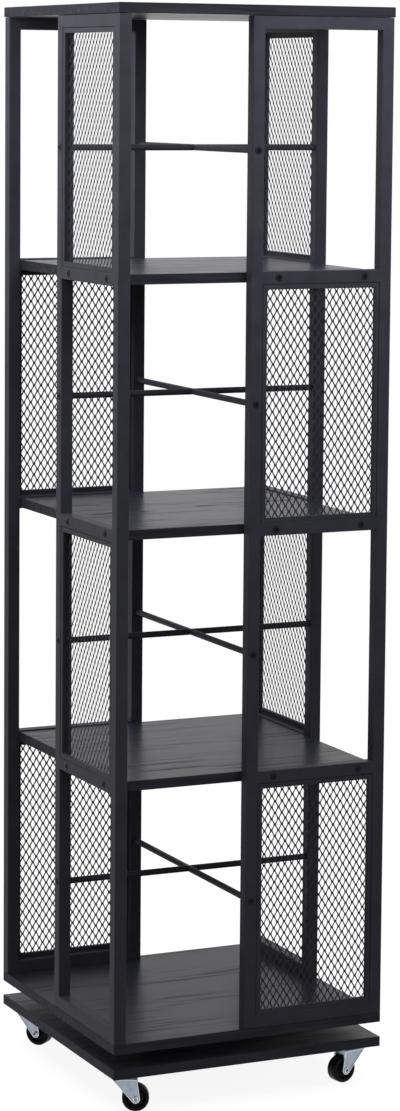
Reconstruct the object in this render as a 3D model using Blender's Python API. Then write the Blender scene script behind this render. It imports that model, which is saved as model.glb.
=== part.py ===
"""Revolving bookcase in metres, +Z up, origin on the floor under the spin axis.

A square tower of black boards and welded ladder frames turns on a ball swivel above a base board,
which rolls on four swivel castors. Each face carries a ladder frame on its right half, seen from
outside, and is open on its left half, so the four book bays of a level follow each other round.
"""

import math

import bmesh
import bpy
from mathutils import Matrix, Vector

# Boards and frames
BODY_SIDE = 0.350
BOARD_THICKNESS = 0.012
BOARD_EDGE_ROUND = 0.0008
TOP_OVERHANG = 0.001
TUBE = 0.015
LEVELS = 4
LEVEL_PITCH = 0.29375
SEAT_GAP = 0.0003

# Expanded-metal inserts
RIM_WIDTH = 0.006
RIM_DEPTH = 0.005
RIM_RECESS = 0.0005
SHEET_LAP = 0.003
SHEET_THICKNESS = 0.002
STRAND_WIDTH = 0.0036
DIAMOND_COLUMNS = 4
DIAMOND_ROWS = 5

# Cross braces
BRACE_RADIUS = 0.00375
BRACE_SIDES = 12

# Ball swivel
SWIVEL_HEIGHT = 0.018
SWIVEL_PLATE_SIDE = 0.150
SWIVEL_PLATE_CORNER = 0.012
SWIVEL_PLATE_THICKNESS = 0.002
SWIVEL_BORE_RADIUS = 0.030
RACE_RADIUS = 0.050
RACE_HALF_WIDTH = 0.008
RACE_GAP = 0.0024
BALL_RADIUS = 0.004
BALL_CLEARANCE = 0.0005
BALL_COUNT = 8
BALL_SIDES = 8
BALL_RINGS = 6
CAGE_HALF_WIDTH = 0.006
CAGE_THICKNESS = 0.0014
SWIVEL_SIDES = 32
GROOVE_STEPS = 4

# Castors
CASTOR_INSET = 0.028
WHEEL_RADIUS = 0.016
WHEEL_WIDTH = 0.013
WHEEL_WEB = 0.007
WHEEL_RIM_WALL = 0.0056
WHEEL_RIM_DRAFT = 0.0016
TREAD_SHOULDER = 0.0022
WHEEL_SIDES = 18
HUB_LENGTH = 0.0174
HUB_RADIUS = 0.005
AXLE_RADIUS = 0.0022
AXLE_HEAD_RADIUS = 0.0034
AXLE_HEAD = 0.0012
FORK_WALL = 0.0018
FORK_SHOULDER = 0.0022
FORK_TRAIL = 0.011
FORK_EAR_RADIUS = 0.0048
FORK_EAR_STEPS = 6
FORK_NOSE = 0.0115
FORK_TAIL = 0.0127
FORK_KNEE_REACH = 0.0067
FORK_KNEE_DROP = 0.0137
CROWN_CLEARANCE = 0.0072
BOSS_HEIGHT = 0.0029
BOSS_RADIUS = 0.010
KINGPIN_RADIUS = 0.003
KINGPIN_HEAD_RADIUS = 0.005
KINGPIN_HEAD = 0.0015
CASTOR_PLATE_SIDE = 0.042
CASTOR_PLATE_CORNER = 0.004
CASTOR_PLATE_THICKNESS = 0.0015
PIN_SIDES = 12

# Meshing
SHARP_EDGE_DEGREES = 35
MERGE_DISTANCE = 1e-6

# Heights above the floor, from the castors up
CROWN_BOTTOM = 2 * WHEEL_RADIUS + CROWN_CLEARANCE
CROWN_TOP = CROWN_BOTTOM + FORK_WALL
BOSS_BOTTOM = CROWN_TOP + SEAT_GAP
CASTOR_PLATE_BOTTOM = BOSS_BOTTOM + BOSS_HEIGHT
CASTOR_PLATE_TOP = CASTOR_PLATE_BOTTOM + CASTOR_PLATE_THICKNESS
BASE_BOTTOM = CASTOR_PLATE_TOP + SEAT_GAP
BASE_TOP = BASE_BOTTOM + BOARD_THICKNESS
BODY_BOTTOM = BASE_TOP + SWIVEL_HEIGHT
FLOOR_BOARD_TOP = BODY_BOTTOM + BOARD_THICKNESS
FRAME_HEIGHT = LEVELS * LEVEL_PITCH + TUBE
TOP_BOARD_BOTTOM = FLOOR_BOARD_TOP + FRAME_HEIGHT

HALF_BODY = BODY_SIDE / 2
HALF_TUBE = TUBE / 2
INNER_FACE = HALF_BODY - TUBE
WINDOW_WIDTH = INNER_FACE - HALF_TUBE
WINDOW_HEIGHT = LEVEL_PITCH - TUBE
WINDOW_CENTRE = (INNER_FACE + HALF_TUBE) / 2

# Turn of each side about the spin axis, and its lowest level with an insert, counted from the floor.
# From there up every second window of that side carries one, so inserts and open windows alternate.
SIDES = {"front": 0, "left": -90, "back": 180, "right": 90}
INSERT_START_LEVELS = {"front": 1, "left": 2, "back": 1, "right": 2}
INSERT_STEP_LEVELS = 2

# Corner of each castor and the way its wheel trails at rest, in degrees from +X
CASTORS = {
    "front_left": (-1, -1, -24),
    "front_right": (1, -1, 190),
    "back_left": (-1, 1, -53),
    "back_right": (1, 1, 140),
}


def clear_scene():
    for thing in list(bpy.data.objects):
        bpy.data.objects.remove(thing, do_unlink=True)


def surface(name, colour, roughness, metallic=0.0):
    material = bpy.data.materials.new(name)
    material.use_nodes = True
    shader = material.node_tree.nodes["Principled BSDF"]
    shader.inputs["Base Color"].default_value = (*colour, 1.0)
    shader.inputs["Roughness"].default_value = roughness
    shader.inputs["Metallic"].default_value = metallic
    return material


def placed(name, bm, material, parent=None, smooth=False):
    """Turns a bmesh into a named object with outward faces."""
    bmesh.ops.recalc_face_normals(bm, faces=bm.faces)
    mesh = bpy.data.meshes.new(name)
    bm.to_mesh(mesh)
    bm.free()
    if smooth:
        mesh.shade_smooth()
        mesh.set_sharp_from_angle(angle=math.radians(SHARP_EDGE_DEGREES))
    mesh.materials.append(material)
    thing = bpy.data.objects.new(name, mesh)
    bpy.context.scene.collection.objects.link(thing)
    thing.parent = parent
    return thing


def pivot(name, location, turn=0.0, parent=None):
    """An empty on a joint axis that carries the pieces of one moving body."""
    empty = bpy.data.objects.new(name, None)
    bpy.context.scene.collection.objects.link(empty)
    empty.location = location
    empty.rotation_euler = (0, 0, math.radians(turn))
    empty.parent = parent
    return empty


def boolean(thing, operation, bm, label):
    """Joins or cuts a helper shape, kept as a live modifier."""
    bmesh.ops.recalc_face_normals(bm, faces=bm.faces)
    mesh = bpy.data.meshes.new(thing.name + "_" + label)
    bm.to_mesh(mesh)
    bm.free()
    helper = bpy.data.objects.new(mesh.name, mesh)
    bpy.context.scene.collection.objects.link(helper)
    helper.parent = thing
    helper.hide_render = True
    helper.display_type = "WIRE"
    modifier = thing.modifiers.new(label, "BOOLEAN")
    modifier.operation = operation
    modifier.solver = "EXACT"
    modifier.object = helper


def box(low, high):
    """A cuboid between two corners."""
    bm = bmesh.new()
    low = Vector(low)
    high = Vector(high)
    middle = Matrix.Translation((low + high) / 2)
    bmesh.ops.create_cube(bm, size=1.0, matrix=middle @ Matrix.Diagonal((*(high - low), 1.0)))
    return bm


def rounded_plate(side, corner, bottom, top):
    """A square plate whose four upright edges are rounded."""
    half = side / 2
    bm = box((-half, -half, bottom), (half, half, top))
    upright = [e for e in bm.edges if abs(e.verts[0].co.z - e.verts[1].co.z) > (top - bottom) / 2]
    bmesh.ops.bevel(bm, geom=upright, offset=corner, segments=2, profile=0.5, affect="EDGES")
    return bm


def rod(radius, start, end, sides, turn=0.0):
    """A round bar between two points; turn rolls its facets about its own axis."""
    bm = bmesh.new()
    start = Vector(start)
    end = Vector(end)
    along = end - start
    aim = along.to_track_quat("Z", "Y").to_matrix().to_4x4()
    place = Matrix.Translation((start + end) / 2) @ aim @ Matrix.Rotation(turn, 4, "Z")
    bmesh.ops.create_cone(
        bm,
        cap_ends=True,
        segments=sides,
        radius1=radius,
        radius2=radius,
        depth=along.length,
        matrix=place,
    )
    return bm


def turned(profile, sides):
    """A body of revolution about Z from (radius, height) points; a profile off the axis is closed."""
    bm = bmesh.new()
    points = [bm.verts.new((radius, 0, height)) for radius, height in profile]
    edges = [bm.edges.new(pair) for pair in zip(points, points[1:])]
    if profile[0][0] > 0:
        edges.append(bm.edges.new((points[-1], points[0])))
    bmesh.ops.spin(
        bm,
        geom=points + edges,
        cent=(0, 0, 0),
        axis=(0, 0, 1),
        angle=2 * math.pi,
        steps=sides,
        use_merge=True,
    )
    bmesh.ops.remove_doubles(bm, verts=bm.verts, dist=MERGE_DISTANCE)
    return bm


def lattice(columns, rows, solid, front, back):
    """A flat welded frame: the grid cells between the cut lines that are solid, front to back."""
    bm = bmesh.new()
    corners = {}

    def corner(i, j):
        if (i, j) not in corners:
            corners[i, j] = bm.verts.new((columns[i], front, rows[j]))
        return corners[i, j]

    for i in range(len(columns) - 1):
        for j in range(len(rows) - 1):
            if solid(i, j):
                bm.faces.new((corner(i, j), corner(i + 1, j), corner(i + 1, j + 1), corner(i, j + 1)))
    grown = bmesh.ops.extrude_face_region(bm, geom=bm.faces[:], use_keep_orig=True)
    moved = [item for item in grown["geom"] if isinstance(item, bmesh.types.BMVert)]
    bmesh.ops.translate(bm, verts=moved, vec=(0, back - front, 0))
    return bm


def level_floor(level):
    """Height of the rail centre at the foot of a level, counted from 1 at the floor board."""
    return FLOOR_BOARD_TOP + HALF_TUBE + (level - 1) * LEVEL_PITCH


def make_boards(wood, tower):
    """Base board, floor board, a shelf between the frames at every inner rail, and the top board."""
    shelf_side = BODY_SIDE - 2 * (TUBE + SEAT_GAP)
    boards = [
        ("base_board", BODY_SIDE, BASE_BOTTOM, None),
        ("bottom_board", BODY_SIDE, BODY_BOTTOM, tower),
        ("top_board", BODY_SIDE + 2 * TOP_OVERHANG, TOP_BOARD_BOTTOM, tower),
    ]
    for number in range(1, LEVELS):
        bottom = level_floor(number + 1) - BOARD_THICKNESS / 2
        boards.append((f"shelf_{number}", shelf_side, bottom, tower))
    for name, side, bottom, parent in boards:
        half = side / 2
        bm = box((-half, -half, bottom), (half, half, bottom + BOARD_THICKNESS))
        bmesh.ops.bevel(
            bm, geom=bm.edges[:], offset=BOARD_EDGE_ROUND, segments=1, profile=0.5, affect="EDGES"
        )
        placed(name, bm, wood, parent)


def make_side_frames(steel, tower):
    """Welded square-tube ladders: two uprights and a rail at every shelf."""
    columns = [-HALF_TUBE, HALF_TUBE, INNER_FACE, HALF_BODY]
    rows = []
    for level in range(1, LEVELS + 2):
        middle = level_floor(level)
        rows += [middle - HALF_TUBE, middle + HALF_TUBE]
    rows[0] += SEAT_GAP
    rows[-1] -= SEAT_GAP

    def solid(i, j):
        return i != 1 or j % 2 == 0

    for side, turn in SIDES.items():
        bm = lattice(columns, rows, solid, -HALF_BODY, -INNER_FACE)
        frame = placed("side_frame_" + side, bm, steel, tower)
        frame.rotation_euler = (0, 0, math.radians(turn))


def make_mesh_rim(name, steel, turn, middle, tower):
    """Bar rim of an insert, fitted closely between the uprights and rails of its window."""
    half_width = WINDOW_WIDTH / 2 - SEAT_GAP
    half_height = WINDOW_HEIGHT / 2 - SEAT_GAP
    across = [-half_width, RIM_WIDTH - half_width, half_width - RIM_WIDTH, half_width]
    up = [-half_height, RIM_WIDTH - half_height, half_height - RIM_WIDTH, half_height]
    columns = [WINDOW_CENTRE + x for x in across]
    rows = [middle + z for z in up]

    def solid(i, j):
        return i != 1 or j != 1

    front = RIM_RECESS - HALF_BODY
    bm = lattice(columns, rows, solid, front, front + RIM_DEPTH)
    placed(name, bm, steel, tower).rotation_euler = (0, 0, math.radians(turn))


def make_mesh_sheet(name, steel, turn, middle, tower):
    """Expanded metal behind the rim: staggered diamond gaps between slanting strands."""
    width = WINDOW_WIDTH - 2 * (SEAT_GAP + RIM_WIDTH - SHEET_LAP)
    height = WINDOW_HEIGHT - 2 * (SEAT_GAP + RIM_WIDTH - SHEET_LAP)
    half_x = width / DIAMOND_COLUMNS / 2
    half_z = height / DIAMOND_ROWS / 2
    left = WINDOW_CENTRE - width / 2
    foot = middle - height / 2
    front = RIM_RECESS + RIM_DEPTH + SEAT_GAP - HALF_BODY
    gap_share = 1 - STRAND_WIDTH * math.hypot(half_x, half_z) / (2 * half_x * half_z)
    bm = bmesh.new()
    knots = {}

    def knot(i, j):
        if (i, j) not in knots:
            knots[i, j] = bm.verts.new((left + i * half_x, front, foot + j * half_z))
        return knots[i, j]

    for i in range(2 * DIAMOND_COLUMNS + 1):
        for j in range(2 * DIAMOND_ROWS + 1):
            if (i + j) % 2:
                continue
            around = ((i + 1, j), (i, j + 1), (i - 1, j), (i, j - 1))
            inside = [
                (a, b) for a, b in around if 0 <= a <= 2 * DIAMOND_COLUMNS and 0 <= b <= 2 * DIAMOND_ROWS
            ]
            ring = [knot(a, b) for a, b in inside]
            if len(ring) == 4:
                centre = Vector((left + i * half_x, front, foot + j * half_z))
                gap = [bm.verts.new(centre.lerp(corner.co, gap_share)) for corner in ring]
                for n in range(4):
                    m = (n + 1) % 4
                    bm.faces.new((ring[n], ring[m], gap[m], gap[n]))
            else:
                make_edge_piece(bm, ring, knot(i, j))
    sheet = placed(name, bm, steel, tower)
    sheet.rotation_euler = (0, 0, math.radians(turn))
    thickness = sheet.modifiers.new("sheet", "SOLIDIFY")
    thickness.thickness = SHEET_THICKNESS
    thickness.offset = -1.0


def make_edge_piece(bm, ring, middle):
    """Half or quarter diamond along the sheet's edge, left solid where the rim backs it."""
    if len(ring) == 2:
        bm.faces.new((middle, ring[0], ring[1]))
        return
    for first, second in ((0, 1), (1, 2), (2, 0)):
        # Of the three corners, the two on the edge lie in line with the middle and span no triangle.
        offset = (ring[first].co + ring[second].co) / 2 - middle.co
        if offset.length > MERGE_DISTANCE:
            bm.faces.new((middle, ring[first], ring[second]))


def make_inserts(steel, tower):
    for side, turn in SIDES.items():
        for level in range(INSERT_START_LEVELS[side], LEVELS + 1, INSERT_STEP_LEVELS):
            middle = level_floor(level) + LEVEL_PITCH / 2
            make_mesh_rim(f"mesh_rim_{side}_{level}", steel, turn, middle, tower)
            make_mesh_sheet(f"mesh_sheet_{side}_{level}", steel, turn, middle, tower)


def make_braces(steel, tower):
    """Welded four-armed rod crosses at half level height, from middle upright to middle upright."""
    reach = INNER_FACE - SEAT_GAP
    for level in range(1, LEVELS + 1):
        height = level_floor(level) + LEVEL_PITCH / 2
        bm = rod(BRACE_RADIUS, (-reach, 0, height), (reach, 0, height), BRACE_SIDES)
        cross = placed(f"cross_brace_{level}", bm, steel, tower, smooth=True)
        arm = rod(
            BRACE_RADIUS, (0, -reach, height), (0, reach, height), BRACE_SIDES, math.pi / BRACE_SIDES
        )
        boolean(cross, "UNION", arm, "arm")


def race_profile(plate, face, ball_height, up):
    """Closed outline of a race ring from its plate to its grooved face; up is 1 or -1."""
    groove = BALL_RADIUS + BALL_CLEARANCE
    lip = math.acos(RACE_GAP / 2 / groove)
    outline = [(RACE_RADIUS - RACE_HALF_WIDTH, plate), (RACE_RADIUS - RACE_HALF_WIDTH, face)]
    for n in range(GROOVE_STEPS + 1):
        angle = -lip + 2 * lip * n / GROOVE_STEPS
        outline.append((RACE_RADIUS + groove * math.sin(angle), ball_height - up * groove * math.cos(angle)))
    outline += [(RACE_RADIUS + RACE_HALF_WIDTH, face), (RACE_RADIUS + RACE_HALF_WIDTH, plate)]
    return outline


def make_swivel(zinc, brass, tower):
    """Ball swivel: two square plates with grooved race rings and a cage of balls between them."""
    ball_height = (BASE_TOP + BODY_BOTTOM) / 2
    ends = (
        ("swivel_lower_plate", BASE_TOP + SEAT_GAP, 1, None),
        ("swivel_upper_plate", BODY_BOTTOM - SEAT_GAP, -1, tower),
    )
    for name, seat, up, parent in ends:
        inner = seat + up * SWIVEL_PLATE_THICKNESS
        low = min(seat, inner)
        high = max(seat, inner)
        bm = rounded_plate(SWIVEL_PLATE_SIDE, SWIVEL_PLATE_CORNER, low, high)
        plate = placed(name, bm, zinc, parent)
        root = seat + up * SWIVEL_PLATE_THICKNESS / 2
        face = ball_height - up * RACE_GAP / 2
        ring = turned(race_profile(root, face, ball_height, up), SWIVEL_SIDES)
        boolean(plate, "UNION", ring, "race")
        bore = rod(
            SWIVEL_BORE_RADIUS,
            (0, 0, low - SWIVEL_PLATE_THICKNESS),
            (0, 0, high + SWIVEL_PLATE_THICKNESS),
            SWIVEL_SIDES,
        )
        boolean(plate, "DIFFERENCE", bore, "bore")
    half = CAGE_THICKNESS / 2
    strip = [
        (RACE_RADIUS - CAGE_HALF_WIDTH, ball_height - half),
        (RACE_RADIUS - CAGE_HALF_WIDTH, ball_height + half),
        (RACE_RADIUS + CAGE_HALF_WIDTH, ball_height + half),
        (RACE_RADIUS + CAGE_HALF_WIDTH, ball_height - half),
    ]
    spin = pivot("ball_cage_spin", (0, 0, 0))
    cage = placed("swivel_ball_cage", turned(strip, SWIVEL_SIDES), brass, spin, smooth=True)
    balls = bmesh.new()
    for n in range(BALL_COUNT):
        turn = Matrix.Rotation(2 * math.pi * n / BALL_COUNT, 4, "Z")
        place = turn @ Matrix.Translation((RACE_RADIUS, 0, ball_height))
        bmesh.ops.create_uvsphere(
            balls, u_segments=BALL_SIDES, v_segments=BALL_RINGS, radius=BALL_RADIUS, matrix=place
        )
    boolean(cage, "UNION", balls, "balls")


def fork_outline():
    """Side view of the fork as (trail, height) points: crown, knee and the round ear at the axle."""
    centre = Vector((FORK_TRAIL, WHEEL_RADIUS))
    knee = Vector((-FORK_KNEE_REACH, CROWN_TOP - FORK_KNEE_DROP))
    tail = Vector((FORK_TAIL, CROWN_BOTTOM))
    ends = []
    for point, hand in ((knee, 1), (tail, -1)):
        away = point - centre
        bearing = math.atan2(away.y, away.x)
        ends.append(bearing + hand * math.acos(FORK_EAR_RADIUS / away.length))
    first, last = ends[0], ends[1] + 2 * math.pi
    outline = [(FORK_TAIL, CROWN_TOP), (-FORK_NOSE, CROWN_TOP), (-FORK_NOSE, CROWN_BOTTOM), knee]
    for n in range(FORK_EAR_STEPS + 1):
        angle = first + (last - first) * n / FORK_EAR_STEPS
        outline.append(centre + FORK_EAR_RADIUS * Vector((math.cos(angle), math.sin(angle))))
    outline.append(tail)
    return outline


def make_fork(name, zinc, swivel):
    """Pressed fork: rounded shoulders, two tapered legs and a crown turned on the kingpin."""
    inner = HUB_LENGTH / 2 + SEAT_GAP
    outer = inner + FORK_WALL
    bm = bmesh.new()
    side = bm.faces.new([bm.verts.new((x, -outer, z)) for x, z in fork_outline()])
    grown = bmesh.ops.extrude_face_region(bm, geom=[side], use_keep_orig=True)
    moved = [item for item in grown["geom"] if isinstance(item, bmesh.types.BMVert)]
    bmesh.ops.translate(bm, verts=moved, vec=(0, 2 * outer, 0))
    shoulders = []
    for edge in bm.edges:
        a, b = (vert.co for vert in edge.verts)
        level = min(a.z, b.z) > (CROWN_TOP + CROWN_BOTTOM) / 2
        if level and abs(a.y - b.y) < outer and abs(a.x - b.x) > FORK_NOSE:
            shoulders.append(edge)
    bmesh.ops.bevel(bm, geom=shoulders, offset=FORK_SHOULDER, segments=2, profile=0.5, affect="EDGES")
    fork = placed(name, bm, zinc, swivel)
    far = FORK_TRAIL + WHEEL_RADIUS
    channel = box((-far, -inner, -WHEEL_RADIUS), (far, inner, CROWN_BOTTOM))
    boolean(fork, "DIFFERENCE", channel, "channel")
    reach = 2 * outer
    axle_hole = rod(
        AXLE_RADIUS + SEAT_GAP,
        (FORK_TRAIL, -reach, WHEEL_RADIUS),
        (FORK_TRAIL, reach, WHEEL_RADIUS),
        PIN_SIDES,
    )
    boolean(fork, "DIFFERENCE", axle_hole, "axle_hole")
    pin_hole = rod(
        KINGPIN_RADIUS + SEAT_GAP,
        (0, 0, CROWN_BOTTOM - FORK_WALL),
        (0, 0, CROWN_TOP + FORK_WALL),
        PIN_SIDES,
    )
    boolean(fork, "DIFFERENCE", pin_hole, "kingpin_hole")


def make_castor_plate(name, zinc, location):
    """Top plate with its pressed boss and the riveted kingpin that the fork turns on."""
    bm = rounded_plate(
        CASTOR_PLATE_SIDE, CASTOR_PLATE_CORNER, CASTOR_PLATE_BOTTOM, CASTOR_PLATE_TOP
    )
    plate = placed(name, bm, zinc)
    plate.location = location
    head_top = CROWN_BOTTOM - SEAT_GAP
    profile = [
        (0, head_top - KINGPIN_HEAD),
        (KINGPIN_HEAD_RADIUS, head_top - KINGPIN_HEAD),
        (KINGPIN_HEAD_RADIUS, head_top),
        (KINGPIN_RADIUS, head_top),
        (KINGPIN_RADIUS, BOSS_BOTTOM),
        (BOSS_RADIUS, BOSS_BOTTOM),
        (BOSS_RADIUS + BOSS_HEIGHT, CASTOR_PLATE_BOTTOM + CASTOR_PLATE_THICKNESS / 2),
        (0, CASTOR_PLATE_BOTTOM + CASTOR_PLATE_THICKNESS / 2),
    ]
    boolean(plate, "UNION", turned(profile, PIN_SIDES), "boss")


def lay_on_axle(bm, sides):
    """Turns a body of revolution so that its axis lies along Y with a flat facet underneath."""
    facet_down = Matrix.Rotation(math.pi / sides - math.pi / 2, 4, "Z")
    bmesh.ops.transform(bm, matrix=Matrix.Rotation(math.pi / 2, 4, "X") @ facet_down, verts=bm.verts)
    return bm


def make_wheel(name, rubber, swivel):
    """Moulded wheel: hub, recessed web, and a rim with rounded tread shoulders."""
    tread = WHEEL_RADIUS / math.cos(math.pi / WHEEL_SIDES)
    rim = tread - WHEEL_RIM_WALL
    half = [
        (AXLE_RADIUS + SEAT_GAP, HUB_LENGTH / 2),
        (HUB_RADIUS, HUB_LENGTH / 2),
        (HUB_RADIUS, WHEEL_WEB / 2),
        (rim, WHEEL_WEB / 2),
        (rim + WHEEL_RIM_DRAFT, WHEEL_WIDTH / 2),
        (tread - TREAD_SHOULDER, WHEEL_WIDTH / 2),
        (tread, WHEEL_WIDTH / 2 - TREAD_SHOULDER),
    ]
    profile = half + [(radius, -height) for radius, height in reversed(half)]
    wheel = placed(name, lay_on_axle(turned(profile, WHEEL_SIDES), WHEEL_SIDES), rubber, swivel, smooth=True)
    wheel.location = (FORK_TRAIL, 0, WHEEL_RADIUS)


def make_axle(name, zinc, swivel):
    """Rivet through both legs of the fork, with a flat head at each end."""
    seat = HUB_LENGTH / 2 + SEAT_GAP + FORK_WALL + SEAT_GAP
    half = [(AXLE_RADIUS, seat), (AXLE_HEAD_RADIUS, seat), (AXLE_HEAD_RADIUS, seat + AXLE_HEAD)]
    profile = [(0, seat + AXLE_HEAD)] + half[::-1]
    profile += [(radius, -height) for radius, height in half] + [(0, -seat - AXLE_HEAD)]
    axle = placed(name, lay_on_axle(turned(profile, PIN_SIDES), PIN_SIDES), zinc, swivel)
    axle.location = (FORK_TRAIL, 0, WHEEL_RADIUS)


def make_castors(zinc, rubber):
    reach = HALF_BODY - CASTOR_INSET
    for corner, (x, y, turn) in CASTORS.items():
        kingpin = (x * reach, y * reach, 0)
        make_castor_plate("castor_plate_" + corner, zinc, kingpin)
        swivel = pivot("castor_swivel_" + corner, kingpin, turn)
        make_fork("castor_fork_" + corner, zinc, swivel)
        make_wheel("castor_wheel_" + corner, rubber, swivel)
        make_axle("castor_axle_" + corner, zinc, swivel)


def build():
    clear_scene()
    wood = surface("black_wood_grain", (0.012, 0.012, 0.014), 0.5)
    steel = surface("black_powder_coat", (0.016, 0.016, 0.019), 0.45)
    zinc = surface("zinc_plate", (0.36, 0.40, 0.44), 0.35, 1.0)
    brass = surface("ball_cage_brass", (0.45, 0.33, 0.12), 0.4, 1.0)
    rubber = surface("black_wheel", (0.010, 0.010, 0.011), 0.5)
    tower = pivot("tower_spin", (0, 0, 0))
    make_boards(wood, tower)
    make_side_frames(steel, tower)
    make_inserts(steel, tower)
    make_braces(steel, tower)
    make_swivel(zinc, brass, tower)
    make_castors(zinc, rubber)


build()
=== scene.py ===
import math

import bmesh
import bpy
from mathutils import Matrix, Vector


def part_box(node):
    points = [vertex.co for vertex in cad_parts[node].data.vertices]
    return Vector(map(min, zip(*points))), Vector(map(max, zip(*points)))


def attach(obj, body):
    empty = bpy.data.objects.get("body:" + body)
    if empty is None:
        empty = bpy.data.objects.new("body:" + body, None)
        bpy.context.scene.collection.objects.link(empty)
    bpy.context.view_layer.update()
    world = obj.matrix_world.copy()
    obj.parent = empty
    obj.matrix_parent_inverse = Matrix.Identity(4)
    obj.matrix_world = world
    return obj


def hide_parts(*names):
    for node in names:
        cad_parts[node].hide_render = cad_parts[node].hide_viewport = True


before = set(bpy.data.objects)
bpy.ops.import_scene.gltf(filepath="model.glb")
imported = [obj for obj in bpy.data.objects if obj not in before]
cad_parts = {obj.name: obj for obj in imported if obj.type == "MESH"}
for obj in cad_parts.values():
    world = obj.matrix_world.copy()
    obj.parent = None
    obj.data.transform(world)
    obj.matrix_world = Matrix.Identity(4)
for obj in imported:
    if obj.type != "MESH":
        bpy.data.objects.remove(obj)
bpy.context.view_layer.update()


# Base board
# A square of 12 mm particle board under black wood-grain foil, with a plainer, duller band of foil round
# its edges. The castors are screwed to its underside and the ball swivel to its top.
BOARD_EDGE_RADIUS = 0.0009
BOARD_EDGE_STEPS = 3
SHARP_ANGLE = math.radians(40)
WHOLE_RANGE = (0.0, 1.0)
FOIL_LINE = (0.0050, 0.0052, 0.0076, 1.0)
FOIL_GROUND = (0.0180, 0.0189, 0.0300, 1.0)
FOIL_SPECULAR = 0.082
FOIL_ROUGHNESS = (0.56, 0.30)
GRAIN_STRETCH = (8.0, 170.0, 170.0)
GRAIN_NOISE = {"Scale": 1.0, "Detail": 4.0, "Roughness": 0.6, "Distortion": 0.5}
GRAIN_STOPS = (0.37, 0.47)
CLUSTER_STRETCH = (3.0, 20.0, 20.0)
CLUSTER_NOISE = {"Scale": 1.0, "Detail": 2.0, "Roughness": 0.5, "Distortion": 0.3}
CLUSTER_STOPS = (0.42, 0.60)
DARKEST_LINE = 0.25
PORE_STRETCH = (14.0, 900.0, 900.0)
PORE_NOISE = {"Scale": 1.0, "Detail": 2.0, "Roughness": 0.5, "Distortion": 0.2}
PORE_STOPS = (0.36, 0.50)
PORE_STRENGTH = 0.18
PORE_DEPTH = 0.0002
BAND_DARK = (0.0130, 0.0132, 0.0180, 1.0)
BAND_PALE = (0.0300, 0.0305, 0.0410, 1.0)
BAND_STOPS = (0.30, 0.70)
BAND_ROUGHNESS = (0.65, 0.55)
BAND_TO_FACE = (0.5, 0.9)


def add_node(material, kind, **inputs):
    """Add a shader node and set its named input sockets; underscores in a name stand for spaces."""
    node = material.node_tree.nodes.new(kind)
    for socket, value in inputs.items():
        node.inputs[socket.replace("_", " ")].default_value = value
    return node


def join(material, output, target):
    """Link one socket to another."""
    material.node_tree.links.new(output, target)


def new_finish(name, specular, metallic=0.0):
    """A material with a Principled shader, its shader node and its Object coordinates."""
    material = bpy.data.materials.new(name)
    material.use_nodes = True
    shader = material.node_tree.nodes["Principled BSDF"]
    shader.inputs["Specular IOR Level"].default_value = specular
    shader.inputs["Metallic"].default_value = metallic
    coordinates = add_node(material, "ShaderNodeTexCoord").outputs["Object"]
    return material, shader, coordinates


def noise(material, coordinates, settings, stretch=(1.0, 1.0, 1.0), shift=(0.0, 0.0, 0.0)):
    """Noise texture whose pattern is stretched and shifted by a Mapping node."""
    mapping = add_node(material, "ShaderNodeMapping", Scale=stretch, Location=shift)
    join(material, coordinates, mapping.inputs["Vector"])
    texture = add_node(material, "ShaderNodeTexNoise", **settings)
    join(material, mapping.outputs["Vector"], texture.inputs["Vector"])
    return texture.outputs["Fac"]


def ramp(material, factor, stops, dark, pale):
    """Colour ramp between two stops."""
    node = add_node(material, "ShaderNodeValToRGB")
    for element, position, colour in zip(node.color_ramp.elements, stops, (dark, pale)):
        element.position = position
        element.color = colour
    join(material, factor, node.inputs["Fac"])
    return node.outputs["Color"]


def span(material, factor, stops, start=0.0, end=1.0):
    """Map a factor between two stops onto a number from start to end."""
    low, high = stops
    node = add_node(
        material, "ShaderNodeMapRange", From_Min=low, From_Max=high, To_Min=start, To_Max=end
    )
    join(material, factor, node.inputs["Value"])
    return node.outputs["Result"]


def bump(material, shader, height, strength, distance):
    """Surface relief from a height value."""
    node = add_node(material, "ShaderNodeBump", Strength=strength, Distance=distance)
    join(material, height, node.inputs["Height"])
    join(material, node.outputs["Normal"], shader.inputs["Normal"])


def upward(material):
    """How far a face looks straight up or down, from 0 on the edges of a board to 1 on its faces."""
    facing = add_node(material, "ShaderNodeSeparateXYZ")
    join(material, add_node(material, "ShaderNodeTexCoord").outputs["Normal"], facing.inputs["Vector"])
    either_way = add_node(material, "ShaderNodeMath")
    either_way.operation = "ABSOLUTE"
    join(material, facing.outputs["Z"], either_way.inputs[0])
    return either_way.outputs["Value"]


def mixed(material, kind, factor, low, high):
    """Blend two colours or numbers, each a socket, by a factor."""
    node = add_node(material, "ShaderNodeMix")
    node.data_type = kind
    sockets = [socket for socket in node.inputs if socket.enabled]
    for source, target in zip((factor, low, high), sockets):
        join(material, source, target)
    return next(socket for socket in node.outputs if socket.enabled)


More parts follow.
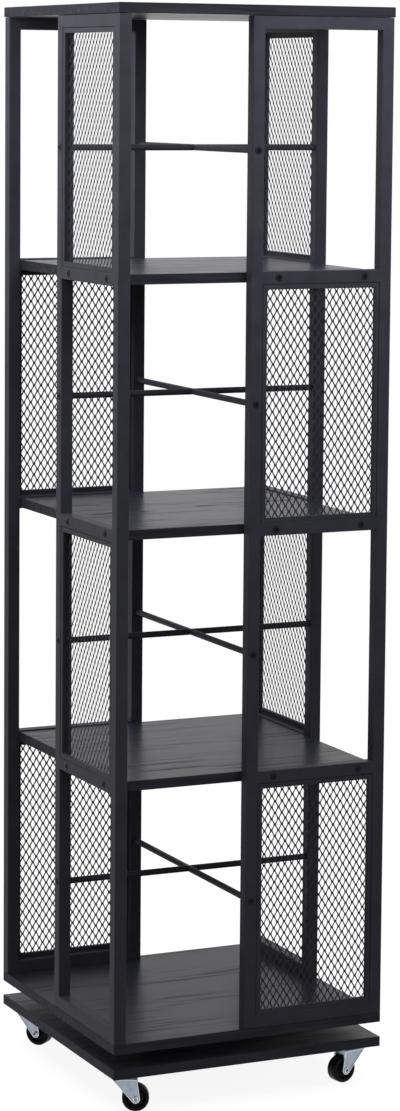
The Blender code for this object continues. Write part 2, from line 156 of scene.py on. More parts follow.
def grain_foil(name, shift):
    """Black wood-grain foil: clusters of thin dark lines along X, fine open pores and a satin sheen."""
    material, shader, coordinates = new_finish(name, FOIL_SPECULAR)
    streaks = noise(material, coordinates, GRAIN_NOISE, GRAIN_STRETCH, shift)
    clusters = noise(material, coordinates, CLUSTER_NOISE, CLUSTER_STRETCH, shift)
    pores = noise(material, coordinates, PORE_NOISE, PORE_STRETCH, shift)
    between = add_node(material, "ShaderNodeMath")
    between.operation = "MAXIMUM"
    join(material, span(material, streaks, GRAIN_STOPS), between.inputs[0])
    join(material, span(material, clusters, CLUSTER_STOPS, DARKEST_LINE), between.inputs[1])
    ground = between.outputs["Value"]
    face = span(material, upward(material), BAND_TO_FACE)
    foil_colour = ramp(material, ground, WHOLE_RANGE, FOIL_LINE, FOIL_GROUND)
    band_colour = ramp(material, streaks, BAND_STOPS, BAND_DARK, BAND_PALE)
    colour = mixed(material, "RGBA", face, band_colour, foil_colour)
    join(material, colour, shader.inputs["Base Color"])
    foil_sheen = span(material, ground, WHOLE_RANGE, *FOIL_ROUGHNESS)
    band_sheen = span(material, streaks, BAND_STOPS, *BAND_ROUGHNESS)
    sheen = mixed(material, "FLOAT", face, band_sheen, foil_sheen)
    join(material, sheen, shader.inputs["Roughness"])
    bump(material, shader, span(material, pores, PORE_STOPS), PORE_STRENGTH, PORE_DEPTH)
    return material


def make_piece(name, bm, material, body, slot, *nodes):
    """Turn a bmesh into a piece that rides on a body and stands for the named CAD nodes."""
    bmesh.ops.recalc_face_normals(bm, faces=bm.faces)
    mesh = bpy.data.meshes.new(name)
    bm.to_mesh(mesh)
    bm.free()
    mesh.materials.append(material)
    mesh.shade_smooth()
    mesh.set_sharp_from_angle(angle=SHARP_ANGLE)
    piece = bpy.data.objects.new(name, mesh)
    bpy.context.scene.collection.objects.link(piece)
    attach(piece, body)
    if nodes:
        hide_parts(*nodes)
    return piece


def level_normals(piece):
    """Keep large flat faces flat beside their rounded edges."""
    piece.modifiers.new("flat_faces", "WEIGHTED_NORMAL").keep_sharp = True


def box_between(low, high):
    """A cuboid between two corners."""
    bm = bmesh.new()
    place = Matrix.Translation((low + high) / 2) @ Matrix.Diagonal((*(high - low), 1.0))
    bmesh.ops.create_cube(bm, size=1.0, matrix=place)
    return bm


def round_edges(bm, edges, radius, steps):
    """Round the given edges off."""
    bmesh.ops.bevel(
        bm, geom=edges, offset=radius, segments=steps, profile=0.5, affect="EDGES", material=-1
    )


def make_board(node, body, grain_shift):
    """A foiled board with softly rounded edges in the place of its CAD node."""
    bm = box_between(*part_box(node))
    round_edges(bm, bm.edges[:], BOARD_EDGE_RADIUS, BOARD_EDGE_STEPS)
    foil = grain_foil("grain_foil_" + node, grain_shift)
    level_normals(make_piece("foiled_" + node, bm, foil, body, "black_wood_grain", node))


make_board("base_board", "base", (0.0, 3.0, 1.0))


# Castor top plates
# Pressed zinc-plated steel squares with a round boss for the swivel balls and a riveted kingpin.
# Four pan-head screws hold each one to the underside of the base board.
CASTOR_CORNERS = ("front_left", "front_right", "back_left", "back_right")
CASTOR_PLATE_THICKNESS = 0.0015
CASTOR_PLATE_CORNER = 0.004
CASTOR_PLATE_CORNER_STEPS = 6
CASTOR_PLATE_EDGE = 0.0004
CASTOR_PLATE_EDGE_STEPS = 2
SQUARE_EDGE_ANGLE = math.radians(60)
BOSS_RADIUS = 0.010
BOSS_SLOPE = 0.0029
BOSS_FILLET = 0.0008
KINGPIN_RADIUS = 0.003
KINGPIN_HEAD_RADIUS = 0.005
KINGPIN_FACE_RADIUS = 0.0035
KINGPIN_HEAD = 0.0015
KINGPIN_FACE_SLOPE = 0.000675
SCREW_SPREAD = 0.015
SCREW_HEAD_RADIUS = 0.0032
SCREW_HEAD = 0.0016
SCREW_DOME = ((0.62, 0.94), (0.88, 0.70), (1.0, 0.30), (1.0, 0.0))
SCREW_RECESS_RADIUS = 0.0008
SCREW_RECESS_MOUTH = 0.00104
SCREW_RECESS_FLOOR = 0.00072
SCREW_STEPS = 20
ROUND_STEPS = 48
WELD_DISTANCE = 1e-6
METAL_SPECULAR = 0.5
ZINC_DARK = (0.25, 0.29, 0.34, 1.0)
ZINC_PALE = (0.36, 0.41, 0.48, 1.0)
ZINC_NOISE = {"Scale": 160.0, "Detail": 3.0, "Roughness": 0.6}
ZINC_COLOUR_STOPS = (0.30, 0.70)
ZINC_SHEEN_STOPS = (0.25, 0.75)
ZINC_ROUGHNESS = (0.30, 0.46)
ROLLING_STRETCH = (260.0, 2600.0, 900.0)
ROLLING_NOISE = {"Scale": 1.0, "Detail": 2.0}
ROLLING_STRENGTH = 0.10
ROLLING_DEPTH = 0.0001


def mottle(material, shader, patches, colour_stops, dark, pale, sheen_stops, roughness):
    """Let one noise vary both the colour and the roughness of a finish."""
    join(material, ramp(material, patches, colour_stops, dark, pale), shader.inputs["Base Color"])
    join(material, span(material, patches, sheen_stops, *roughness), shader.inputs["Roughness"])


def zinc_plating(name, dark, pale):
    """Bright zinc on pressed steel: faint cloudy patches and fine rolling marks in the sheen. With paler
    colours it is a painted highlight, with near-black ones a painted shade.
    """
    material, shader, coordinates = new_finish(name, METAL_SPECULAR, metallic=1.0)
    patches = noise(material, coordinates, ZINC_NOISE)
    marks = noise(material, coordinates, ROLLING_NOISE, ROLLING_STRETCH)
    mottle(material, shader, patches, ZINC_COLOUR_STOPS, dark, pale, ZINC_SHEEN_STOPS, ZINC_ROUGHNESS)
    bump(material, shader, marks, ROLLING_STRENGTH, ROLLING_DEPTH)
    return material


def turned(profile, steps, closed=True):
    """Spin (radius, height) points about Z; a closed profile that starts off the axis makes a ring."""
    bm = bmesh.new()
    points = [bm.verts.new((radius, 0.0, height)) for radius, height in profile]
    edges = [bm.edges.new(pair) for pair in zip(points, points[1:])]
    if closed and profile[0][0] > 0:
        edges.append(bm.edges.new((points[-1], points[0])))
    bmesh.ops.spin(
        bm,
        geom=points + edges,
        cent=(0, 0, 0),
        axis=(0, 0, 1),
        angle=2 * math.pi,
        steps=steps,
        use_merge=True,
    )
    bmesh.ops.remove_doubles(bm, verts=bm.verts, dist=WELD_DISTANCE)
    return bm


def add_shape(bm, shape, place):
    """Add a placed copy of a finished shape to a piece."""
    mesh = bpy.data.meshes.new("shape")
    shape.to_mesh(mesh)
    mesh.transform(place)
    bm.from_mesh(mesh)
    bpy.data.meshes.remove(mesh)


def dome(shares, radius, height):
    """Profile of a domed head, from the middle out, from shares of its radius and height."""
    return [(across * radius, up * height) for across, up in shares]


def pan_head():
    """Domed screw head on the plane z = 0, rising along +Z, with a round drive recess."""
    recess = [
        (0.0, SCREW_RECESS_FLOOR),
        (SCREW_RECESS_RADIUS, SCREW_RECESS_FLOOR),
        (SCREW_RECESS_MOUTH, SCREW_HEAD),
    ]
    outside = dome(SCREW_DOME, SCREW_HEAD_RADIUS, SCREW_HEAD)
    return turned(recess + outside + [(0.0, 0.0)], SCREW_STEPS)


def kingpin_of(corner):
    """Point on the floor under a castor's kingpin."""
    low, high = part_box("castor_plate_" + corner)
    return Vector(((low.x + high.x) / 2, (low.y + high.y) / 2, 0.0))


zinc = zinc_plating("zinc_plating", ZINC_DARK, ZINC_PALE)
screw_head = pan_head()
upside_down = Matrix.Rotation(math.pi, 4, "X")
for corner in CASTOR_CORNERS:
    node = "castor_plate_" + corner
    low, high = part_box(node)
    plate_bottom = high.z - CASTOR_PLATE_THICKNESS
    plate_middle = high.z - CASTOR_PLATE_THICKNESS / 2
    bm = box_between(Vector((low.x, low.y, plate_bottom)), high)
    uprights = []
    for edge in bm.edges:
        lower, upper = sorted(vert.co.z for vert in edge.verts)
        if lower < plate_middle < upper:
            uprights.append(edge)
    round_edges(bm, uprights, CASTOR_PLATE_CORNER, CASTOR_PLATE_CORNER_STEPS)
    rims = [edge for edge in bm.edges if edge.calc_face_angle() > SQUARE_EDGE_ANGLE]
    round_edges(bm, rims, CASTOR_PLATE_EDGE, CASTOR_PLATE_EDGE_STEPS)
    kingpin = kingpin_of(corner)
    boss_bottom = plate_bottom - BOSS_SLOPE
    boss = [
        (0.0, low.z),
        (KINGPIN_FACE_RADIUS, low.z),
        (KINGPIN_HEAD_RADIUS, low.z + KINGPIN_FACE_SLOPE),
        (KINGPIN_HEAD_RADIUS, low.z + KINGPIN_HEAD),
        (KINGPIN_RADIUS, low.z + KINGPIN_HEAD),
        (KINGPIN_RADIUS, boss_bottom),
        (BOSS_RADIUS - BOSS_FILLET, boss_bottom),
        (BOSS_RADIUS, boss_bottom + BOSS_FILLET / 2),
        (BOSS_RADIUS + BOSS_SLOPE, plate_middle),
        (0.0, plate_middle),
    ]
    add_shape(bm, turned(boss, ROUND_STEPS), Matrix.Translation(kingpin))
    for x in (-SCREW_SPREAD, SCREW_SPREAD):
        for y in (-SCREW_SPREAD, SCREW_SPREAD):
            seat = Matrix.Translation(kingpin + Vector((x, y, plate_bottom)))
            add_shape(bm, screw_head, seat @ upside_down)
    level_normals(make_piece("screwed_" + node, bm, zinc, "base", "zinc_plate", node))
screw_head.free()


# Castor forks
# Each is one pressed piece of zinc-plated sheet: a crown that turns on the kingpin, rounded shoulders,
# and two tapered legs with a raised lip round their edge, its highlight painted in paler zinc, ending in a
# round ear at the axle.
FORK_WALL = 0.0018
FORK_HALF_WIDTH = 0.0108
FORK_SHOULDER = 0.0022
FORK_SHOULDER_STEPS = 5
FORK_NOSE = 0.0160
FORK_TAIL = 0.0127
FORK_EAR_RADIUS = 0.0052
FORK_EAR_STEPS = 14
FORK_LIP = 0.0010
FORK_LIP_SLOPE = 0.0005
FORK_LIP_RISE = 0.0006
FORK_EDGE = 0.00035
FORK_EDGE_STEPS = 2
FORK_EDGE_ANGLE = math.radians(50)
CUT_TOLERANCE = 1e-7
HIGHLIGHT_ZINC_DARK = (0.50, 0.55, 0.60, 1.0)
HIGHLIGHT_ZINC_PALE = (0.66, 0.71, 0.76, 1.0)


def cut_off(bm, point, outward):
    """Cut a shape at a plane and throw away what lies outside it."""
    whole = bm.verts[:] + bm.edges[:] + bm.faces[:]
    bmesh.ops.bisect_plane(
        bm, geom=whole, dist=CUT_TOLERANCE, plane_co=point, plane_no=outward, clear_outer=True
    )


def fork_sides(axle, crown_top):
    """Cut lines of the leg, seen from the side, as (point, outward normal) pairs in x and z."""
    nose = Vector((-FORK_NOSE, crown_top - FORK_WALL))
    tail = Vector((FORK_TAIL, crown_top - FORK_WALL))
    bearings = []
    for point, hand in ((nose, 1), (tail, -1)):
        away = point - axle
        bearings.append(math.atan2(away.y, away.x) + hand * math.acos(FORK_EAR_RADIUS / away.length))
    first, last = bearings[0], bearings[1] + 2 * math.pi
    sides = []
    for n in range(FORK_EAR_STEPS + 1):
        bearing = first + (last - first) * n / FORK_EAR_STEPS
        outward = Vector((math.cos(bearing), math.sin(bearing)))
        sides.append((axle + FORK_EAR_RADIUS * outward, outward))
    return sides


def fork_shell(axle, crown_top):
    """The fork's outer skin as an open sheet: crown, shoulders and two legs cut to their outline."""
    low = Vector((-FORK_NOSE, -FORK_HALF_WIDTH, 0.0))
    high = Vector((axle.x + FORK_EAR_RADIUS, FORK_HALF_WIDTH, crown_top))
    bm = box_between(low, high)
    open_sides = [face for face in bm.faces if abs(face.normal.x) > 0.5 or face.normal.z < -0.5]
    bmesh.ops.delete(bm, geom=open_sides, context="FACES_ONLY")
    folds = [edge for edge in bm.edges if len(edge.link_faces) == 2]
    round_edges(bm, folds, FORK_SHOULDER, FORK_SHOULDER_STEPS)
    bmesh.ops.delete(bm, geom=[edge for edge in bm.edges if not edge.link_faces], context="EDGES")
    for point, outward in fork_sides(axle, crown_top):
        cut_off(bm, (point.x, 0.0, point.y), (outward.x, 0.0, outward.y))
    legs = [face for face in bm.faces if abs(face.normal.y) > 0.99]
    # The flat lip round each leg takes the second material, paler zinc painted on as the lip's highlight.
    highlight_lips = bmesh.ops.inset_individual(bm, faces=legs, thickness=FORK_LIP)["faces"]
    for face in highlight_lips:
        face.material_index = 1
    bmesh.ops.inset_individual(bm, faces=legs, thickness=FORK_LIP_SLOPE, depth=-FORK_LIP_RISE)
    return bm


def swivel_place(corner):
    """Frame of a castor, its origin under the kingpin and X along its trail; and the axle in x and z."""
    low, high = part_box("castor_axle_" + corner)
    trail = (low + high) / 2 - kingpin_of(corner)
    turn = Matrix.Rotation(math.atan2(trail.y, trail.x), 4, "Z")
    return Matrix.Translation(kingpin_of(corner)) @ turn, Vector((trail.xy.length, trail.z))


# Paler zinc painted on the fork lips and the axle rivets as their highlight.
highlight_zinc = zinc_plating("highlight_zinc", HIGHLIGHT_ZINC_DARK, HIGHLIGHT_ZINC_PALE)
for corner in CASTOR_CORNERS:
    place, axle = swivel_place(corner)
    node = "castor_fork_" + corner
    bm = fork_shell(axle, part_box(node)[1].z)
    bmesh.ops.transform(bm, matrix=place, verts=bm.verts)
    fork = make_piece("pressed_" + node, bm, zinc, "castor_" + corner, "zinc_plate", node)
    fork.data.materials.append(highlight_zinc)
    wall = fork.modifiers.new("sheet", "SOLIDIFY")
    wall.thickness = FORK_WALL
    wall.offset = -1.0
    wall.use_even_offset = True
    edge_round = fork.modifiers.new("edges", "BEVEL")
    edge_round.width = FORK_EDGE
    edge_round.segments = FORK_EDGE_STEPS
    edge_round.angle_limit = FORK_EDGE_ANGLE
    level_normals(fork)


# Castor axles
# Hollow steel rivets, zinc plated and painted paler as a highlight, that pass through both legs and carry
# the wheel.
# Their ends are rolled over into a ring with a hole in the middle, painted near black as the shade inside
# it.
AXLE_RADIUS = 0.0022
AXLE_PROUD = 0.0015
AXLE_RING_RADIUS = 0.0033
AXLE_HOLE_RADIUS = 0.0017
AXLE_HOLE_DEPTH = 0.0080
AXLE_RING_ROUND = 0.0005
AXLE_RING_HEIGHT = 0.0012
AXLE_RING_ROOT = 0.0016
AXLE_STEPS = 32
BORE_SHADE_DARK = (0.010, 0.011, 0.012, 1.0)
BORE_SHADE_PALE = (0.022, 0.023, 0.025, 1.0)


def rivet(half_length):
    """Hollow rivet along Z, the same at both ends; the faces of its bore take the second material, a
    painted shade.
    """
    end = [
        (0.0, half_length - AXLE_HOLE_DEPTH),
        (AXLE_HOLE_RADIUS, half_length - AXLE_HOLE_DEPTH),
        (AXLE_HOLE_RADIUS, half_length - AXLE_RING_ROUND),
        (AXLE_HOLE_RADIUS + AXLE_RING_ROUND, half_length),
        (AXLE_RING_RADIUS - 2 * AXLE_RING_ROUND, half_length),
        (AXLE_RING_RADIUS, half_length - 2 * AXLE_RING_ROUND),
        (AXLE_RING_RADIUS, half_length - AXLE_RING_HEIGHT - AXLE_RING_ROOT),
        (AXLE_RADIUS, half_length - AXLE_RING_HEIGHT - AXLE_RING_ROOT),
    ]
    bm = turned(end + [(radius, -height) for radius, height in reversed(end)], AXLE_STEPS)
    shade_reach = (AXLE_HOLE_RADIUS + AXLE_RADIUS) / 2
    for face in bm.faces:
        if all(vert.co.xy.length < shade_reach for vert in face.verts):
            face.material_index = 1
    return bm


def put_on_axle(bm, corner):
    """Turn a body of revolution from Z onto the axle of a castor."""
    place, axle = swivel_place(corner)
    bmesh.ops.rotate(bm, verts=bm.verts, matrix=Matrix.Rotation(math.pi / 2, 3, "X"))
    bmesh.ops.transform(bm, matrix=place @ Matrix.Translation((axle.x, 0.0, axle.y)), verts=bm.verts)


# Near-black zinc painted into the rivet bores as the shade inside them.
painted_shade_bore = zinc_plating("painted_shade_bore", BORE_SHADE_DARK, BORE_SHADE_PALE)
for corner in CASTOR_CORNERS:
    node = "castor_axle_" + corner
    bm = rivet(FORK_HALF_WIDTH + AXLE_PROUD)
    put_on_axle(bm, corner)
    axle_rivet = make_piece("riveted_" + node, bm, highlight_zinc, "castor_" + corner, "zinc_plate", node)
    axle_rivet.data.materials.append(painted_shade_bore)


# Castor wheels
# Moulded in one piece of hard black plastic: a hub on the axle, a thin web and a thick tread with
# rounded shoulders. They run between the legs of the forks.
WHEEL_RADIUS = 0.016
WHEEL_HALF_WIDTH = 0.0073
WHEEL_HALF_WEB = 0.0035
WHEEL_BORE = 0.0025
HUB_HALF_LENGTH = 0.0087
HUB_RADIUS = 0.005
TREAD_INSIDE = 0.0118
TREAD_SHOULDER = 0.0016
WEB_FILLET = 0.0010
WHEEL_STEPS = 72
SHOULDER_STEPS = 5
WHEEL_BLACK = (0.0025, 0.0026, 0.0034, 1.0)
WHEEL_WORN = (0.0060, 0.0062, 0.0075, 1.0)
WHEEL_SPECULAR = 0.08
WHEEL_NOISE = {"Scale": 220.0, "Detail": 4.0, "Roughness": 0.6}
WHEEL_COLOUR_STOPS = (0.35, 0.75)
WHEEL_SHEEN_STOPS = (0.3, 0.7)
WHEEL_ROUGHNESS = (0.28, 0.42)
GRIT_NOISE = {"Scale": 1500.0, "Detail": 2.0, "Roughness": 0.5}
GRIT_STRENGTH = 0.08
GRIT_DEPTH = 0.0001


def wheel_black(name):
    """Hard black plastic, smooth from the mould, with faint dull patches on it."""
    material, shader, coordinates = new_finish(name, WHEEL_SPECULAR)
    patches = noise(material, coordinates, WHEEL_NOISE)
    colours = (WHEEL_BLACK, WHEEL_WORN)
    mottle(material, shader, patches, WHEEL_COLOUR_STOPS, *colours, WHEEL_SHEEN_STOPS, WHEEL_ROUGHNESS)
    bump(material, shader, noise(material, coordinates, GRIT_NOISE), GRIT_STRENGTH, GRIT_DEPTH)
    return material


def castor_wheel():
    """Wheel about Z: bore, hub, recessed web and a tread with rounded shoulders."""
    half = [
        (WHEEL_BORE, HUB_HALF_LENGTH),
        (HUB_RADIUS - WEB_FILLET, HUB_HALF_LENGTH),
        (HUB_RADIUS, HUB_HALF_LENGTH - WEB_FILLET),
        (HUB_RADIUS, WHEEL_HALF_WEB + WEB_FILLET),
        (HUB_RADIUS + WEB_FILLET, WHEEL_HALF_WEB),
        (TREAD_INSIDE - 2 * WEB_FILLET, WHEEL_HALF_WEB),
        (TREAD_INSIDE - WEB_FILLET, WHEEL_HALF_WEB + WEB_FILLET),
        (TREAD_INSIDE, WHEEL_HALF_WIDTH),
    ]
    for n in range(SHOULDER_STEPS + 1):
        angle = math.pi / 2 * n / SHOULDER_STEPS
        radius = WHEEL_RADIUS - TREAD_SHOULDER * (1 - math.sin(angle))
        half.append((radius, WHEEL_HALF_WIDTH - TREAD_SHOULDER * (1 - math.cos(angle))))
    return turned(half + [(radius, -height) for radius, height in reversed(half)], WHEEL_STEPS)


wheel_plastic = wheel_black("wheel_black")
for corner in CASTOR_CORNERS:
    node = "castor_wheel_" + corner
    bm = castor_wheel()
    put_on_axle(bm, corner)
    make_piece("moulded_" + node, bm, wheel_plastic, "wheel_" + corner, "black_wheel", node)


# Ball swivel
# Two zinc-plated square plates with grooved races, and a brass cage of balls that rolls between them.
# One plate is screwed to the base board and the other to the bottom board of the tower.
BRASS_DARK = (0.42, 0.29, 0.10, 1.0)
BRASS_PALE = (0.62, 0.47, 0.20, 1.0)
BRASS_NOISE = {"Scale": 120.0, "Detail": 4.0, "Roughness": 0.6}
BRASS_COLOUR_STOPS = (0.30, 0.70)
BRASS_SHEEN_STOPS = (0.3, 0.7)
BRASS_ROUGHNESS = (0.28, 0.48)


def cage_brass(name):
    """Plain sheet brass, dulled in cloudy patches."""
    material, shader, coordinates = new_finish(name, METAL_SPECULAR, metallic=1.0)
    patches = noise(material, coordinates, BRASS_NOISE)
    colours = (BRASS_DARK, BRASS_PALE)
    mottle(material, shader, patches, BRASS_COLOUR_STOPS, *colours, BRASS_SHEEN_STOPS, BRASS_ROUGHNESS)
    return material


for node in ("swivel_lower_plate", "swivel_upper_plate"):
    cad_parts[node].material_slots[0].material = zinc
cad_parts["swivel_ball_cage"].material_slots[0].material = cage_brass("cage_brass")


# Bottom board of the tower
# The same foiled board as the base, on top of the swivel. The side frames are screwed down on it
# and it is the floor of the lowest book bays.
make_board("bottom_board", "tower", (7.3, 1.0, 5.0))


# Side frames
# Ladders of 15 mm square steel tube, two uprights and five rails, welded flush and powder coated
# charcoal black. Each stands on the right half of its side and is screwed to the boards at both ends.
SIDE_TURNS = {"front": 0.0, "left": -math.pi / 2, "back": math.pi, "right": math.pi / 2}
LEVELS = 4
TUBE = 0.015
TUBE_ROUND = 0.0010
TUBE_ROUND_STEPS = 4
COAT_DARK = (0.0330, 0.0335, 0.0440, 1.0)
COAT_PALE = (0.0430, 0.0436, 0.0570, 1.0)
COAT_SPECULAR = 0.048
COAT_NOISE = {"Scale": 35.0, "Detail": 4.0, "Roughness": 0.6}
COAT_STOPS = (0.30, 0.70)
COAT_ROUGHNESS = (0.36, 0.48)
PEEL_NOISE = {"Scale": 900.0, "Detail": 3.0, "Roughness": 0.55}
PEEL_STOPS = (0.3, 0.7)
PEEL_STRENGTH = 0.12
PEEL_DEPTH = 0.0001


def powder_coat(name):
    """Charcoal powder coat: satin, a little bluish, with a fine orange-peel relief."""
    material, shader, coordinates = new_finish(name, COAT_SPECULAR)
    clouds = noise(material, coordinates, COAT_NOISE)
    peel = noise(material, coordinates, PEEL_NOISE)
    join(material, ramp(material, clouds, COAT_STOPS, COAT_DARK, COAT_PALE), shader.inputs["Base Color"])
    join(material, span(material, peel, PEEL_STOPS, *COAT_ROUGHNESS), shader.inputs["Roughness"])
    bump(material, shader, peel, PEEL_STRENGTH, PEEL_DEPTH)
    return material


def of_kind(geometry, kind):
    """The elements of one kind, such as vertices, among what an operator made."""
    return [item for item in geometry if isinstance(item, kind)]


def bar_lattice(columns, rows, is_bar, front, back, edge_radius, edge_steps):
    """A flat welded frame: cells between the cut lines that are bars, given depth and round edges.

    The edges at its foot stay sharp, as cut."""
    left, right = columns[0], columns[-1]
    bottom, top = rows[0], rows[-1]
    bm = bmesh.new()
    corners = ((left, bottom), (right, bottom), (right, top), (left, top))
    bm.faces.new([bm.verts.new((x, front, z)) for x, z in corners])
    lines = [((x, 0, 0), (1, 0, 0)) for x in columns[1:-1]]
    lines += [((0, 0, z), (0, 0, 1)) for z in rows[1:-1]]
    for point, normal in lines:
        sheet = bm.verts[:] + bm.edges[:] + bm.faces[:]
        bmesh.ops.bisect_plane(bm, geom=sheet, dist=WELD_DISTANCE, plane_co=point, plane_no=normal)
    windows = []
    for face in bm.faces:
        middle = face.calc_center_median()
        column = sum(middle.x > x for x in columns[1:-1])
        row = sum(middle.z > z for z in rows[1:-1])
        if not is_bar(column, row):
            windows.append(face)
    bmesh.ops.delete(bm, geom=windows, context="FACES")
    grown = bmesh.ops.extrude_face_region(bm, geom=bm.faces[:], use_keep_orig=True)["geom"]
    bmesh.ops.translate(bm, verts=of_kind(grown, bmesh.types.BMVert), vec=(0, back - front, 0))
    bmesh.ops.recalc_face_normals(bm, faces=bm.faces)
    foot = bottom + edge_radius / 2
    edges = []
    for edge in bm.edges:
        at_foot = max(vert.co.z for vert in edge.verts) < foot
        if edge.is_convex and edge.calc_face_angle() > SQUARE_EDGE_ANGLE and not at_foot:
            edges.append(edge)
    round_edges(bm, edges, edge_radius, edge_steps)
    return bm


frame_low, frame_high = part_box("side_frame_front")
shelf_low, shelf_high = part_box("shelf_1")
shelf_middle = (shelf_low.z + shelf_high.z) / 2
level_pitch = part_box("shelf_2")[0].z - shelf_low.z
rail_heights = [shelf_middle + (n - 1) * level_pitch for n in range(LEVELS + 1)]
upright_lines = [frame_low.x, frame_low.x + TUBE, frame_high.x - TUBE, frame_high.x]
rail_lines = []
for height in rail_heights:
    rail_lines += [height - TUBE / 2, height + TUBE / 2]
rail_lines[0] = frame_low.z
rail_lines[-1] = frame_high.z

coat = powder_coat("powder_coat")
for side, turn in SIDE_TURNS.items():
    node = "side_frame_" + side
    bm = bar_lattice(
        upright_lines,
        rail_lines,
        lambda column, row: column != 1 or row % 2 == 0,
        frame_low.y,
        frame_high.y,
        TUBE_ROUND,
        TUBE_ROUND_STEPS,
    )
    bmesh.ops.rotate(bm, verts=bm.verts, matrix=Matrix.Rotation(turn, 3, "Z"))
    level_normals(make_piece("welded_" + node, bm, coat, "tower", "black_powder_coat", node))


# Rims of the mesh inserts
# Square steel bar welded into a rectangle and powder coated like the frames.
# Each fits closely into its window, widest at the back, so only a thin dark joint shows round it.
RIM_WIDTH = 0.006
RIM_ROUND = 0.0007
RIM_ROUND_STEPS = 3
RIM_JOINT = 0.00028
INSERT_LEVELS = {"front": (1, 3), "left": (2, 4), "back": (1, 3), "right": (2, 4)}
INSERTS = [(side, level) for side, levels in INSERT_LEVELS.items() for level in levels]

rim_low, rim_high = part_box("mesh_rim_front_1")
rim_columns = [rim_low.x, rim_low.x + RIM_WIDTH, rim_high.x - RIM_WIDTH, rim_high.x]
rim_rows = [rim_low.z, rim_low.z + RIM_WIDTH, rim_high.z - RIM_WIDTH, rim_high.z]
rim_middle = (rim_low + rim_high) / 2
rim_size = rim_high - rim_low
rim_draft = (1 + 2 * RIM_JOINT / rim_size.x, 1.0, 1 + 2 * RIM_JOINT / rim_size.z)


def insert_turn(side, level):
    """Carries an insert from the lowest window of the front to its own side and level."""
    return Matrix.Rotation(SIDE_TURNS[side], 4, "Z") @ Matrix.Translation((0, 0, (level - 1) * level_pitch))


for side, level in INSERTS:
    node = f"mesh_rim_{side}_{level}"
    bm = bar_lattice(
        rim_columns,
        rim_rows,
        lambda column, row: column != 1 or row != 1,
        rim_low.y,
        rim_high.y,
        RIM_ROUND,
        RIM_ROUND_STEPS,
    )
    back = [vert for vert in bm.verts if vert.co.y > rim_middle.y]
    bmesh.ops.scale(bm, vec=rim_draft, space=Matrix.Translation(-rim_middle), verts=back)
    bmesh.ops.transform(bm, matrix=insert_turn(side, level), verts=bm.verts)
    level_normals(make_piece("welded_" + node, bm, coat, "tower", "black_powder_coat", node))


# Expanded-metal sheets
# Thin sheet steel, slit and pulled open into diamonds. Pulling turns the strands on edge, those that climb
# to the left more than those to the right. The sheet is spot welded behind its rim and coated with it.
DIAMOND_WIDTH = 0.0091
DIAMOND_HEIGHT = 0.0139
STRAND_WIDTH = 0.00175
STRAND_THICKNESS = 0.00025
BOND_HEIGHT = 0.0022
BOND_TURN = math.radians(1)
RIGHT_LEG_TURN = math.radians(5)
LEFT_LEG_TURN = math.radians(-21)
TURN_SHARE = 0.15
SPARE_ENDS = 2


def zigzag_strand(swings):
    """One strand: a strip that climbs from z = 0 and swings right and left from bond to bond."""
    across = Vector((math.cos(BOND_TURN), math.sin(BOND_TURN), 0.0)) * STRAND_WIDTH
    through = Vector((-math.sin(BOND_TURN), math.cos(BOND_TURN), 0.0)) * STRAND_THICKNESS / 2
    bond = Vector((0.0, 0.0, BOND_HEIGHT))
    climb = Vector((0.0, 0.0, DIAMOND_HEIGHT / 2 - BOND_HEIGHT))
    swing = Vector((DIAMOND_WIDTH / 2, 0.0, 0.0)) - across
    legs = ((climb + swing, RIGHT_LEG_TURN), (climb - swing, LEFT_LEG_TURN))
    centre = across / 2
    bm = bmesh.new()
    corners = [bm.verts.new(point) for point in (-through, across - through, across + through, through)]
    loop = [bm.edges.new(pair) for pair in zip(corners, corners[1:] + corners[:1])]
    for n in range(swings):
        leg, turn = legs[n % 2]
        end = leg * TURN_SHARE
        for step, twist in ((bond, 0.0), (end, turn), (leg - 2 * end, 0.0), (end, -turn)):
            grown = bmesh.ops.extrude_edge_only(bm, edges=loop)["geom"]
            loop = of_kind(grown, bmesh.types.BMEdge)
            moved = of_kind(grown, bmesh.types.BMVert)
            centre = centre + step
            bmesh.ops.translate(bm, verts=moved, vec=step)
            bmesh.ops.rotate(bm, verts=moved, cent=centre, matrix=Matrix.Rotation(twist, 3, "Z"))
    return bm


def close_openings(bm):
    """Fill every hole that a cut has left."""
    bmesh.ops.holes_fill(bm, edges=[edge for edge in bm.edges if len(edge.link_faces) == 1], sides=0)


def expanded_sheet(low, high):
    """Strands bonded side by side and cut to the outline of the front's lowest sheet."""
    swings = 2 * (math.ceil((high.z - low.z) / DIAMOND_HEIGHT) + SPARE_ENDS)
    strands = math.ceil((high.x - low.x) / (DIAMOND_WIDTH / 2)) + SPARE_ENDS
    strand = zigzag_strand(swings)
    start = Vector((low.x - DIAMOND_WIDTH / 2, (low.y + high.y) / 2, low.z - DIAMOND_HEIGHT))
    bm = bmesh.new()
    for n in range(strands):
        step = Vector((n * DIAMOND_WIDTH / 2, 0.0, n % 2 * DIAMOND_HEIGHT / 2))
        add_shape(bm, strand, Matrix.Translation(start + step))
    strand.free()
    bmesh.ops.remove_doubles(bm, verts=bm.verts, dist=WELD_DISTANCE)
    inner = [face for face in bm.faces if all(len(edge.link_faces) > 2 for edge in face.edges)]
    bmesh.ops.delete(bm, geom=inner, context="FACES_ONLY")
    for corner, outward in ((low, -1), (high, 1)):
        cut_off(bm, corner, (outward, 0, 0))
        cut_off(bm, corner, (0, 0, outward))
    close_openings(bm)
    return bm


sheet_low, sheet_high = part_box("mesh_sheet_front_1")
lowest_sheet = expanded_sheet(sheet_low, sheet_high)
for side, level in INSERTS:
    node = f"mesh_sheet_{side}_{level}"
    bm = lowest_sheet.copy()
    bmesh.ops.transform(bm, matrix=insert_turn(side, level), verts=bm.verts)
    make_piece("expanded_" + node, bm, coat, "tower", "black_powder_coat", node)
lowest_sheet.free()
